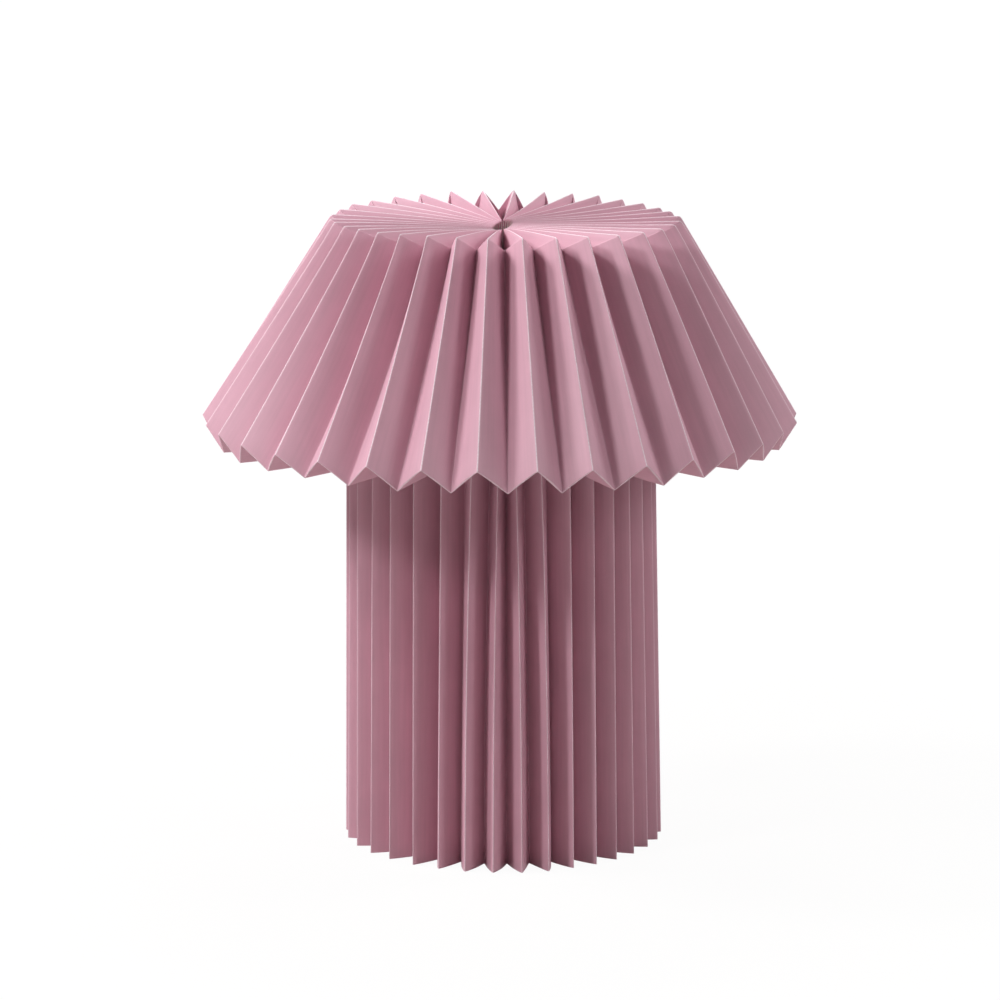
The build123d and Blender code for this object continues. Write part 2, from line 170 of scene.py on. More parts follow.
# Shade, given by its folds as radius and height in mm
shade = {
    "shoulder": (134.0, 486.0),
    "hem": (229.0, 331.0),
    "centre": (8.0, 479.0),
    "hemBevel": 10.0,               # how much further down a valley ends than its ridge
    "hemReturn": 56.0,              # how far the sheet turns in under the skirt
    "lipRise": 0.8,                 # how far a valley stands up at the shoulder, over this share of the skirt
    "lipReach": 0.25,
    "tuckRun": 33.0,                # how far in from the shoulder the valleys of the top begin
    "turn": -1.0,                   # degrees
    "nose": 2.0,                    # how far each side of the shoulder its rounding reaches
    "lip": 1.4,                     # the same at a valley's lip and tuck
    "crease": 1.1,                  # the same at the hem
    "returnFrom": 0.12,             # share of the return, from the hem, at which its rows begin
    "returnRows": 5,
    "creaseRows": 7,
    "skirtRows": 14,
    "noseRows": 12,
    "lipRows": 5,
    "tuckRows": 4,
    "topRows": 12,
    "bulge": 1.2,                   # how far a panel swells between its folds
    "bulgeGap": 20.0,               # half the width of a pleat at which it swells in full
    "skew": (4.0, 0.8),             # degrees that the shoulder is drawn round at the sides, and at the back
    "lean": (2.3, -2.0),            # mm to the right, at the shoulder and at the hem
    # mm that the shoulder stands up: all round, more in front, to the right, and in front and behind alike
    "rise": (-0.3, 0.9, -0.8, 1.7),
    # How the middle lies: mm up, mm of tipping, and the side it tips down to, in degrees from the front
    "tilt": (-0.5, 3.2, -40.0),
    "unevenTurn": 0.16,             # how far folds stray, in degrees and mm
    "unevenOut": 0.6,
    "unevenUp": 0.5,
    "unevenBow": 0.4,
    "unevenTop": 0.7,               # share of that at the shoulder, and how much of it the hem takes off
    "unevenLoss": 0.5,
    "overRing": 0.1,                # mm that valleys of the top stay above their place, clear of the ring
}

# The card that shade and sleeve are folded from
paper = {
    "pleats": 34,
    "panel": 27.2,          # mm from fold to fold
    "thick": 0.4,
    "foldRadius": 0.45,     # how far the paper rounds at a fold, and the most of a panel that this takes
    "mostRound": 0.3,
    "leastSpan": 0.5,       # mm across a panel below which that share grows no more
    "leastGap": 0.35,       # half the gap inside a pleat, in mm, below which its folds get no thicker
    "mostFill": 0.3,        # the most of a pleat's depth that a fold's thickness takes
    "halfColumns": 6,       # columns of points in half a panel, crowded to the fold by this power
    "crowd": 2.2,
    "tint": "#dbabbb",
    "wearAndHighlight": "#f8e8ee",      # broken fibres and a painted highlight along a ridge
    "wearAndHighlightCore": 0.15,       # mm from the fold where the line starts to fade, and where it ends
    "wearAndHighlightWidth": 0.85,
    "wearAndHighlightLeast": 0.45,      # share of the line left where fibres held
    "hemFaint": 0.3,        # taken off the line's width at the hem
    "topHighlightWider": 0.45,       # added to it on the top, to widen the painted highlight there
    "topBlend": 6.0,        # mm past the shoulder over which that grows
    "mottle": 0.06,         # how far the dye strays in depth
    "cloudSize": 45.0,
    "streakWidth": 2.6,
    "streakLength": 70.0,
    "fibreSize": 1.6,       # real fibres are finer; drawn this coarse so that they show
    "fibreDepth": 0.2,
    "rough": 0.55,
    "gloss": 0.45,
    "glow": 0.08,           # share of light that comes through
    "blank": 2000.0,        # mm of flat sheet to one unit of the UV map
    "sleeveFrom": -400.0,   # mm on that map where the sleeve's sheet starts
    "innerFrom": 0.25,      # how far up the map the inner face lies, then the rims, then from rim to rim
    "rimFrom": 0.5,
    "rimStep": 0.01,
}
halfPitch = math.pi / paper["pleats"]


# Valley fold beside a ridge: half a pitch round from it and one panel width away, along the inward way
def valleyBeside(ridge, inward):
    spread = 1 - math.cos(halfPitch)
    slope = ridge[:, :1] * inward[0] * spread
    depth = np.sqrt(slope**2 + paper["panel"] ** 2 - 2 * spread * ridge[:, :1] ** 2) - slope
    return ridge + inward * depth


# Rounded corner: the curve that leaves start towards corner and arrives at end from it
def bend(start, corner, end, count):
    t = np.linspace(0, 1, count)[:, None]
    return (1 - t) ** 2 * start + 2 * t * (1 - t) * corner + t**2 * end


def towards(start, end, distance):
    return start + (end - start) * (distance / np.linalg.norm(end - start))


shoulder, hem, centre = (np.array(shade[key]) for key in ("shoulder", "hem", "centre"))
skirtRun, topRun = hem - shoulder, centre - shoulder
skirtLength, topLength = np.linalg.norm(skirtRun), np.linalg.norm(topRun)
skirtWay, topWay = skirtRun / skirtLength, topRun / topLength
skirtInward, topInward = np.array([skirtWay[1], -skirtWay[0]]), np.array([-topWay[1], topWay[0]])


def skirtRidge(share):
    return shoulder + skirtRun * share[:, None]


def skirtValley(share):
    rise = skirtWay * shade["lipRise"] * np.maximum(1 - share[:, None] / shade["lipReach"], 0)
    return valleyBeside(skirtRidge(share) + skirtWay * shade["hemBevel"] * share[:, None], skirtInward) - rise


def topRidge(share):
    return shoulder + topRun * share[:, None]


def topValley(share):
    return valleyBeside(topRidge(share) + topWay * shade["tuckRun"] * (1 - share[:, None]), topInward)


# Turned in at the hem: the valley runs level, and the ridge lies over it
hemValley = skirtValley(np.ones(1))[0]
inside = np.linspace(1, shade["returnFrom"], shade["returnRows"])
valleyReturn = hemValley - np.stack([shade["hemReturn"] * inside, np.zeros_like(inside)], axis=1)
ridgeReturn = valleyBeside(valleyReturn, np.array([0.0, 1.0]))

# At the shoulder the ridge turns straight into the top; the valley goes over a lip, down a tuck and back
creaseShare = shade["crease"] / skirtLength
fall = np.linspace(1, 0, shade["skirtRows"])
inwards = np.linspace(0, 1, shade["topRows"])
noseSkirt, noseTop = shade["nose"] / skirtLength, shade["nose"] / topLength
lipSkirt, tuckTop = shade["lip"] / skirtLength, shade["lip"] / topLength
ridgeSkirt = skirtRidge(noseSkirt + (1 - creaseShare - noseSkirt) * fall)
ridgeTop = topRidge(noseTop + (1 - noseTop) * inwards)
valleySkirt = skirtValley(lipSkirt + (1 - creaseShare - lipSkirt) * fall)
valleyTop = topValley(tuckTop + (1 - tuckTop) * inwards)
lip, tuck = skirtValley(np.zeros(1))[0], topValley(np.zeros(1))[0]
lipBend = bend(valleySkirt[-1], lip, towards(lip, tuck, shade["lip"]), shade["lipRows"])
tuckBend = bend(towards(tuck, lip, shade["lip"]), tuck, valleyTop[0], shade["lipRows"])
tuckFall = lipBend[-1] + (tuckBend[0] - lipBend[-1]) * np.linspace(0, 1, shade["tuckRows"])[1:-1, None]
noseBend = bend(ridgeSkirt[-1], shoulder, ridgeTop[0], shade["noseRows"])
ridgeFrom = towards(hem, ridgeReturn[-1], shade["crease"])
valleyFrom = towards(hemValley, valleyReturn[-1], shade["crease"])
creaseRidge = bend(ridgeFrom, hem, ridgeSkirt[0], shade["creaseRows"])
creaseValley = bend(valleyFrom, hemValley, valleySkirt[0], shade["creaseRows"])
shadeRidge = np.concatenate([ridgeReturn, creaseRidge[:-1], ridgeSkirt, noseBend[1:-1], ridgeTop])
shadeValley = np.concatenate(
    [valleyReturn, creaseValley[:-1], valleySkirt, lipBend[1:], tuckFall, tuckBend[:-1], valleyTop]
)
shadeAlong = np.append(0, np.cumsum(np.linalg.norm(np.diff((shadeRidge + shadeValley) / 2, axis=0), axis=1)))

# Which side of the drawn folds the sheet's thickness lies on: 1 under the skirt, 0 above
halfCrease = shade["creaseRows"] // 2
hemRow = shade["returnRows"] + halfCrease
turnedIn = np.interp(np.arange(len(shadeRidge)), [hemRow - halfCrease, hemRow + halfCrease], [1, 0])
hemAlong = shadeAlong[hemRow]
shoulderAlong = hemAlong + skirtLength

# Dyed card, pressed smooth: matt with a soft glare, a faint cloudiness in the dye, streaks along the
# pleats from the folding, and a pale line on every ridge and, fainter, along the hem, which is partly
# broken fibres and partly a painted highlight
paperFace, tree = newMaterial("dyed pleating card")
flat = addNode(tree, "ShaderNodeUVMap", uv_map="flat")
toMm = (paper["blank"], paper["blank"], 1)
sheet = addNode(tree, "ShaderNodeMapping", {"Scale": toMm}, {"Vector": flat.outputs[0]})
across = addNode(tree, "ShaderNodeSeparateXYZ", {}, {0: sheet.outputs[0]})
toRidge = sumOf(tree, "PINGPONG", across.outputs[0], paper["panel"])
toHem = sumOf(tree, "ABSOLUTE", sumOf(tree, "SUBTRACT", across.outputs[1], hemAlong))
hemSide = sumOf(tree, "ADD", toHem, paper["hemFaint"])
# On the top the ridge line, with its painted highlight, grows wider
topFrom = (shoulderAlong, shoulderAlong + paper["topBlend"])
onTop = ranged(tree, across.outputs[1], topFrom, (0, paper["topHighlightWider"]))
nearest = sumOf(tree, "MINIMUM", sumOf(tree, "SUBTRACT", toRidge, onTop), hemSide)
# Pale line along every ridge and the hem, partly wear of the fibres and partly a painted highlight
lineFade = (paper["wearAndHighlightCore"], paper["wearAndHighlightWidth"])
foldWearAndHighlight = ranged(tree, nearest, lineFade, (1, 0), interpolation_type="SMOOTHSTEP")
cloud = addNode(
    tree,
    "ShaderNodeTexNoise",
    {"Scale": 1 / paper["cloudSize"], "Detail": 3.0, "Roughness": 0.55},
    {"Vector": sheet.outputs[0]},
)
grainSpace = addNode(
    tree,
    "ShaderNodeMapping",
    {"Scale": (1 / paper["streakWidth"], 1 / paper["streakLength"], 1)},
    {"Vector": sheet.outputs[0]},
)
streak = addNode(tree, "ShaderNodeTexNoise", {"Scale": 1.0, "Detail": 2.0}, {"Vector": grainSpace.outputs[0]})
mottle = sumOf(tree, "ADD", cloud.outputs[0], streak.outputs[0])
dyeDepth = ranged(tree, mottle, (0.6, 1.4), (1 - paper["mottle"], 1 + paper["mottle"]))
dyed = addNode(
    tree,
    "ShaderNodeMix",
    {"Factor": 1.0, "A": colour(paper["tint"])},
    {"B": dyeDepth},
    data_type="RGBA",
    blend_type="MULTIPLY",
)
fibre = addNode(
    tree,
    "ShaderNodeTexNoise",
    {"Scale": 1 / paper["fibreSize"], "Detail": 4.0, "Roughness": 0.7},
    {"Vector": sheet.outputs[0]},
)
broken = ranged(tree, fibre.outputs[0], (0.3, 0.6), (paper["wearAndHighlightLeast"], 1))
# The wear and painted highlight mixed into the card's colour
wearAndHighlightAmount = sumOf(tree, "MULTIPLY", foldWearAndHighlight, broken)
faceTone = addNode(
    tree,
    "ShaderNodeMix",
    {"B": colour(paper["wearAndHighlight"])},
    {"Factor": wearAndHighlightAmount, "A": dyed.outputs["Result"]},
    data_type="RGBA",
)
fibreRelief = {"Strength": 0.25, "Distance": paper["fibreDepth"] * mm}
grain = addNode(tree, "ShaderNodeBump", fibreRelief, {"Height": fibre.outputs[0]})
card = addNode(
    tree,
    "ShaderNodeBsdfPrincipled",
    {"Roughness": paper["rough"], "IOR": 1.5, "Specular IOR Level": paper["gloss"]},
    {"Base Color": faceTone.outputs["Result"], "Normal": grain.outputs[0]},
)
through = addNode(tree, "ShaderNodeBsdfTranslucent", {}, {"Color": faceTone.outputs["Result"]})
whole = addNode(tree, "ShaderNodeMixShader", {0: paper["glow"]}, {1: card.outputs[0], 2: through.outputs[0]})
addNode(tree, "ShaderNodeOutputMaterial", {}, {"Surface": whole.outputs[0]})

# The same card where the knife went through: rough, with loose fibres in two tones
edges = {
    "grain": (0.8, 0.8, 0.8),
    "rough": 0.9,
    "tones": {
        "cut edge of dyed card": ("#cfa3ae", "#ecd3d9"),
        "glued edge of dyed card": ("#a38f89", "#dccfc8"),      # greyer and darker than the cut edge, round the middle
    },
}
edgeMaterials = []
for name, tones in edges["tones"].items():
    edgeMaterial, tree = newMaterial(name)
    tone = twoTones(tree, tones, edges["grain"], 3.0)[1]
    cut = addNode(tree, "ShaderNodeBsdfPrincipled", {"Roughness": edges["rough"]}, {"Base Color": tone})
    addNode(tree, "ShaderNodeOutputMaterial", {}, {"Surface": cut.outputs[0]})
    edgeMaterials.append(edgeMaterial)


# Unit normal on the right-hand side of a path of points
def rightOf(path):
    way = np.gradient(path, axis=0)
    way /= np.linalg.norm(way, axis=1)[:, None]
    return np.stack([way[:, 1], -way[:, 0]], axis=1)


# Pleated sheet from its ridge path and valley path (rows of radius and height, in mm).
# Folds alternate round the axis. Between two folds a point goes straight across by the share phi,
# and down by a weight that is phi with both ends rounded, so that every fold has a small radius.
# wander moves each fold by (turn, out, up) row by row, and bow pushes each panel sideways in the middle.
# The outer face, the inner face and the two cut rims close the sheet. The UV map is the sheet laid flat,
# with the inner face and the rims beside it. lastEdge is the last rim's place in the list of materials.
def pleatedSheet(
    name, ridge, valley, turnedIn, along, wander, bow, body, firstTurn=0.0, notch=None, lastEdge=1
):
    rows, folds = len(ridge), 2 * paper["pleats"]
    depth = np.linalg.norm(valley - ridge, axis=1)
    halfGap = valley[:, 0] * math.sin(halfPitch)
    foldThick = paper["thick"] * (paper["panel"] - depth / 2)
    foldThick = foldThick / np.maximum(halfGap - paper["thick"], paper["leastGap"])
    foldThick = np.minimum(foldThick, paper["mostFill"] * depth)[:, None]
    ridgeOut, valleyOut, under = rightOf(ridge) * foldThick, rightOf(valley) * foldThick, turnedIn[:, None]

    steps = 0.5 * np.linspace(0, 1, paper["halfColumns"]) ** paper["crowd"]
    phi = np.concatenate([steps[:-1], 1 - steps[:0:-1]])
    soft = paper["foldRadius"] / np.maximum(halfGap, paper["leastSpan"])
    soft = np.minimum(soft, paper["mostRound"])[:, None]

    def rounded(x):
        return 0.5 * (np.sqrt(x**2 + soft**2) - soft) / (np.sqrt(0.25 + soft**2) - soft)

    weight = np.where(phi <= 0.5, rounded(np.minimum(phi, 0.5)), 1 - rounded(np.minimum(1 - phi, 0.5)))
    isRidge = (np.arange(folds) % 2 == 0)[None, :, None]
    order = np.arange(folds + 1)
    angle = order * halfPitch + firstTurn + np.radians(wander[0][:, order % folds])

    def face(ridgeLine, valleyLine):
        spot = np.where(isRidge, ridgeLine[:, None, :], valleyLine[:, None, :])
        spot = spot + np.stack([wander[1], wander[2]], axis=2)
        spot = np.concatenate([spot, spot[:, :1]], axis=1)
        fold = np.stack([spot[..., 0] * np.sin(angle), -spot[..., 0] * np.cos(angle), spot[..., 1]], axis=2)
        start, reach = fold[:, :-1, None, :], np.diff(fold, axis=1)[:, :, None, :]
        middle = (angle[:, :-1] + angle[:, 1:]) / 2
        side = np.stack([np.cos(middle), np.sin(middle), np.zeros_like(middle)], axis=2)[:, :, None, :]
        sideways = (reach * side).sum(axis=3, keepdims=True)
        w, f = weight[:, None, :, None], phi[None, None, :, None]
        swell = bow[:, :, None, None] * np.sin(math.pi * f)
        points = start + reach * w + side * (sideways * (f - w) + swell)
        if notch is not None:
            x, y, z = points[..., 0], points[..., 1], points[..., 2]
            arch = notch["rise"] + np.sqrt(np.maximum(notch["half"] ** 2 - x**2, 0))
            low = np.where((np.abs(x) < notch["half"]) & (y > 0), arch, 0.0)
            top = z.max()
            points[..., 2] = low + (top - low) * z / top
        return points.reshape(rows, -1, 3)

    outer = face(ridge + ridgeOut * under, valley + valleyOut * (1 - under))
    inner = face(ridge - ridgeOut * (1 - under), valley - valleyOut * under)
    columns = outer.shape[1]

    r, c = np.meshgrid(np.arange(rows - 1), np.arange(columns), indexing="ij")
    n = (c + 1) % columns
    here, above = r * columns, (r + 1) * columns
    quadsOut = np.stack([here + c, here + n, above + n, above + c], axis=2)
    quadsIn = quadsOut[..., ::-1] + rows * columns
    ring, nextRing = np.arange(columns), (np.arange(columns) + 1) % columns
    back, last = rows * columns, (rows - 1) * columns
    firstRim = np.stack([ring, back + ring, back + nextRing, nextRing], axis=1)
    lastRim = np.stack([last + ring, last + nextRing, back + last + nextRing, back + last + ring], axis=1)
    quads = np.concatenate([quadsOut.reshape(-1, 4), quadsIn.reshape(-1, 4), firstRim, lastRim])

    u = (np.arange(folds)[:, None] + phi[None, :]).ravel() * paper["panel"]
    u = np.append(u, folds * paper["panel"]) / paper["blank"]
    v = along / paper["blank"]
    cornersOut = np.stack(
        [
            np.stack([u[c], v[r]], axis=2),
            np.stack([u[c + 1], v[r]], axis=2),
            np.stack([u[c + 1], v[r + 1]], axis=2),
            np.stack([u[c], v[r + 1]], axis=2),
        ],
        axis=2,
    )
    cornersIn = cornersOut[:, :, ::-1] + np.array([0, paper["innerFrom"]])
    edgeU = np.stack([u[:-1], u[:-1], u[1:], u[1:]], axis=1)
    edgeV = paper["rimFrom"] + np.array([0, 1, 1, 0]) * paper["thick"] / paper["blank"]
    cornersRim = np.stack([edgeU, np.broadcast_to(edgeV, edgeU.shape)], axis=2)
    cornersLast = cornersRim + np.array([0, paper["rimStep"]])
    corners = np.concatenate(
        [cornersOut.reshape(-1, 4, 2), cornersIn.reshape(-1, 4, 2), cornersRim, cornersLast]
    )
    index = np.zeros(len(quads))
    index[-2 * columns :] = 1
    index[-columns:] = lastEdge
    points = np.concatenate([outer.reshape(-1, 3), inner.reshape(-1, 3)]) * mm
    return addPiece(name, points, quads, [paperFace, *edgeMaterials], body, index, corners), inner


# Handmade pleats stray a little from their places, most at the hem and not at all at the middle
rng = np.random.default_rng(11)
folds = 2 * paper["pleats"]
foldAngle = np.arange(folds) * halfPitch + math.radians(shade["turn"]) - turn
isRidge = np.arange(folds) % 2 == 0
swellSide = np.where(isRidge, 1.0, -1.0)
hemShare = np.clip(1 - (shadeAlong - hemAlong) / skirtLength, 0, 1)[:, None]
topShare = np.clip((shadeAlong[-1] - shadeAlong) / topLength, 0, 1)[:, None]
shoulderShare = topShare * (1 - hemShare)
strayHem, strayTop = rng.normal(size=(4, folds)), rng.normal(size=(4, folds))
strayKept = 1 - shade["unevenLoss"] * hemShare
strayTurn, strayOut, strayUp = (
    amount * (strayHem[i] * hemShare + shade["unevenTop"] * strayTop[i] * topShare * strayKept)
    for i, amount in enumerate((shade["unevenTurn"], shade["unevenOut"], shade["unevenUp"]))
)
drawnRound = shade["skew"][0] * np.sin(foldAngle) ** 2 + shade["skew"][1] * (1 - np.cos(foldAngle)) / 2
leaning = np.sin(foldAngle) * (shade["lean"][0] * shoulderShare + shade["lean"][1] * hemShare)
level, toFront, toRight, saddle = shade["rise"]
standing = level + toFront * np.cos(foldAngle) + toRight * np.sin(foldAngle) + saddle * np.cos(2 * foldAngle)
standing = strayUp + standing * shoulderShare
raised, tipped, tippedTo = shade["tilt"]
tipping = (raised - tipped * np.cos(foldAngle - math.radians(tippedTo))) * (1 - topShare) ** 3
tuckRow = len(shadeValley) - len(valleyTop) - len(tuckBend) + 1
overRing = (np.arange(len(shadeValley))[:, None] >= tuckRow) & ~isRidge
shadeUp = np.where(overRing, np.maximum(standing, shade["overRing"]), standing) + tipping
room = np.clip(shadeValley[:, :1] * math.sin(halfPitch) / shade["bulgeGap"], 0, 1)
shadePaper, shadeInner = pleatedSheet(
    "shadePaper",
    shadeRidge,
    shadeValley,
    turnedIn,
    shadeAlong,
    [strayTurn + drawnRound * shoulderShare, strayOut + leaning, shadeUp],
    (shade["bulge"] * swellSide + shade["unevenBow"] * strayHem[3]) * room * (1 - turnedIn[:, None]),
    "shade",
    math.radians(shade["turn"]),
    lastEdge=2,
)
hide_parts(*[name for name in nodes if name.startswith("shade_sheet")])

# Sleeve: a tall drum of the same pleats, standing on the table round the stand
sleeve = {
    "foot": 125.0,          # radius of the ridge folds at the table, mm
    "top": 119.0,
    "lean": (1.1, -1.5),    # mm that the ridges stand to the right, at the table and at the top
    "slack": -0.5,          # mm that they stand out
    "skew": (4.0, 3.0),     # degrees that the pleats crowd to the front, on both sides and more on the right
    # How strongly pleats draw together at the top, round which angle, and how widely, in degrees
    "gather": (0.45, 2.0, 16.0),
    "height": 350.0,
    "rows": 15,
    "notchHalf": 8.5,       # arched way out for the cord, at the back
    "notchRise": 12.8,
    "bulge": 0.9,
    "unevenTurn": 0.18,
    "unevenOut": 0.6,
    "unevenBow": 0.4,
}

climb = np.linspace(0, 1, sleeve["rows"])
sleeveRadius = sleeve["foot"] + (sleeve["top"] - sleeve["foot"]) * climb
sleeveRidge = np.stack([sleeveRadius, sleeve["height"] * climb], axis=1)
sleeveValley = valleyBeside(sleeveRidge, np.array([-1.0, 0.0]))
strayFoot, strayHigh = rng.normal(size=(3, folds)), rng.normal(size=(3, folds))
rise = climb[:, None]
mixed = [strayFoot[i] * (1 - rise) + strayHigh[i] * rise for i in range(3)]
sleeveAngle = (np.arange(folds) * halfPitch - turn + math.pi) % (2 * math.pi) - math.pi
strayOut = sleeve["unevenOut"] * mixed[1]
leaning = np.sin(sleeveAngle) * (sleeve["lean"][0] * (1 - rise) + sleeve["lean"][1] * rise) + sleeve["slack"]
crowding = -sleeve["skew"][0] * np.sin(sleeveAngle) - sleeve["skew"][1] * np.sin(sleeveAngle) ** 2
strength, gatherAt, gatherWidth = sleeve["gather"]
fromGather = np.degrees(sleeveAngle) - gatherAt
gathering = -strength * fromGather * np.exp(-((fromGather / gatherWidth) ** 2)) * rise**2
sleevePaper, sleeveInner = pleatedSheet(
    "sleevePaper",
    sleeveRidge,
    sleeveValley,
    np.zeros_like(climb),
    sleeveRidge[:, 1] + paper["sleeveFrom"],
    [
        sleeve["unevenTurn"] * mixed[0] + crowding + gathering,
        np.where(isRidge, strayOut + leaning, np.abs(strayOut)),
        np.zeros_like(strayOut),
    ],
    sleeve["bulge"] * swellSide + sleeve["unevenBow"] * mixed[2],
    "sleeve",
    notch={"half": sleeve["notchHalf"], "rise": sleeve["notchRise"]},
)
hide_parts(*[name for name in nodes if name.startswith("sleeve_sheet")])
faces = tuple(len(piece.data.polygons) for piece in (shadePaper, sleevePaper))
print("paper: shade %d faces, sleeve %d faces" % faces)

# Finishes of the stand and bulb: two tones that a noise of this grain (mm, along each axis) mixes,
# the depth of its relief in mm, and the roughness of its high and its low spots
finishes = {
    # Strips of the same card, seen only inside: matt, slightly cloudy
    "dyed card strip": {
        "tones": ("#c48d9a", "#d29ea9"), "grain": (6.0, 6.0, 6.0),
        "relief": 0.02, "rough": (0.6, 0.75),
    },
    # Waxed cotton, three plies: dull with fine hairs
    "waxed cotton thread": {
        "tones": ("#b98892", "#d9b4bb"), "grain": (0.5, 0.5, 0.5),
        "relief": 0.05, "rough": (0.7, 0.9),
    },
    # Powder-coated steel: an even white skin with a fine orange peel
    "powder-coated steel": {
        "tones": ("#e3e2dd", "#efeeea"), "grain": (1.1, 1.1, 1.1),
        "relief": 0.02, "rough": (0.36, 0.5),
    },
    # Grey iron as cast: dark and granular, deeper and browner in the hollows
    "grey cast iron": {
        "tones": ("#2d2a28", "#55524f"), "grain": (1.6, 1.6, 1.6),
        "relief": 0.2, "rough": (0.6, 0.85),
    },
    # Pressed wool felt: no gloss, matted fibres of two greys
    "pressed wool felt": {
        "tones": ("#33302f", "#5b5755"), "grain": (0.9, 0.9, 2.5),
        "relief": 0.25, "rough": (0.9, 1.0),
    },
    # Moulded rubber: black, dull, a faint bloom
    "moulded rubber": {
        "tones": ("#1b1b1b", "#2c2b2a"), "grain": (2.0, 2.0, 2.0),
        "relief": 0.02, "rough": (0.55, 0.75),
    },
    # Zinc-plated steel: cool grey, with drawing lines along the axis
    "zinc-plated steel": {
        "tones": ("#a9adb2", "#c9cdd2"), "grain": (0.5, 0.5, 12.0),
        "relief": 0.01, "rough": (0.28, 0.45), "metal": 1.0,
    },
    # Moulded urea resin: hard cream white, almost smooth
    "moulded urea resin": {
        "tones": ("#e9e7df", "#f2f0ea"), "grain": (3.0, 3.0, 3.0),
        "relief": 0.01, "rough": (0.25, 0.36),
    },
    # Unglazed steatite: dense white ceramic with a fine tooth
    "unglazed steatite": {
        "tones": ("#e2ddd2", "#efebe3"), "grain": (0.8, 0.8, 0.8),
        "relief": 0.03, "rough": (0.6, 0.75),
    },
    # Pressed sheet brass: yellow, with tarnish in soft patches
    "pressed sheet brass": {
        "tones": ("#b08a3e", "#d9b868"), "grain": (5.0, 5.0, 5.0),
        "relief": 0.01, "rough": (0.2, 0.36), "metal": 1.0,
    },
    # Nickel-plated brass: bright, slightly warm, with fine rolling lines
    "nickel-plated brass": {
        "tones": ("#b9b6b0", "#d6d4cf"), "grain": (1.2, 1.2, 0.5),
        "relief": 0.01, "rough": (0.16, 0.3), "metal": 1.0,
    },
    # Black glass bead: near black and glossy, a little wavy
    "black glass bead": {
        "tones": ("#0b0b0d", "#17171a"), "grain": (3.0, 3.0, 3.0),
        "relief": 0.04, "rough": (0.06, 0.14),
    },
    # Moulded polycarbonate: glossy white, a faint flow pattern
    "moulded polycarbonate": {
        "tones": ("#ecebe8", "#f4f3f1"), "grain": (8.0, 8.0, 20.0),
        "relief": 0.01, "rough": (0.2, 0.3),
    },
}
finishOf = {}
for name, look in finishes.items():
    finishOf[name], tree = newMaterial(name)
    speckle, tone = twoTones(tree, look["tones"], look["grain"], 3.0)
    dull = ranged(tree, speckle, (0.3, 0.7), look["rough"][::-1])
    depth = {"Strength": 0.6, "Distance": look["relief"] * mm}
    relief = addNode(tree, "ShaderNodeBump", depth, {"Height": speckle})
    skin = addNode(
        tree,
        "ShaderNodeBsdfPrincipled",
        {"Metallic": look.get("metal", 0.0)},
        {"Base Color": tone, "Roughness": dull, "Normal": relief.outputs[0]},
    )
    addNode(tree, "ShaderNodeOutputMaterial", {}, {"Surface": skin.outputs[0]})

# Opal polycarbonate: milky, light goes a little way in and spreads
opal = {
    "tones": ("#efece5", "#f7f5f0"),
    "grain": (14.0, 14.0, 14.0),
    "rough": 0.38,
    "milky": 0.35,              # share of light that goes in
    "spread": (4.0, 4.0, 3.5),  # mm that red, green and blue go
}
finishOf["opal polycarbonate"], tree = newMaterial("opal polycarbonate")
tone = twoTones(tree, opal["tones"], opal["grain"], 2.0)[1]
skin = addNode(
    tree,
    "ShaderNodeBsdfPrincipled",
    {
        "Roughness": opal["rough"],
        "Subsurface Weight": opal["milky"],
        "Subsurface Radius": tuple(reach * mm for reach in opal["spread"]),
        "Subsurface Scale": 1.0,
    },
    {"Base Color": tone},
)
addNode(tree, "ShaderNodeOutputMaterial", {}, {"Surface": skin.outputs[0]})

# Solids that keep their own shape take these finishes
dressed = {
    "powder-coated steel": ["shade_spider", "sleeve_spider", "base_shell"],
    "grey cast iron": ["base_weight"],
    "pressed wool felt": ["base_felt"],
    "moulded rubber": ["cord_grommet"],
    "zinc-plated steel": [
        "base_washer", "base_nut", "lamp_pipe", "holder_nut", "stem_bushes", "terminal_screws",
    ],
    "unglazed steatite": ["holder_insert"],
    "pressed sheet brass": ["centre_contact", "bulb_contact"],
}
for finish, names in dressed.items():
    for name in names:
        for slot in nodes[name].material_slots:
            slot.material = finishOf[finish]
solids = sum(len(names) for names in dressed.values())
print("finishes: %d materials on %d solids" % (len(finishOf), solids))

# Strips folded along the inside of the ridges where two sheets meet
strip = {
    "seams": (4, 13, 21, 30),   # pleats with a seam
    "reach": 3,                 # columns each side of the fold
    "clear": 3,                 # rows of the skirt left free at each end
    "glue": 0.3,                # mm
    "thick": 0.4,
}


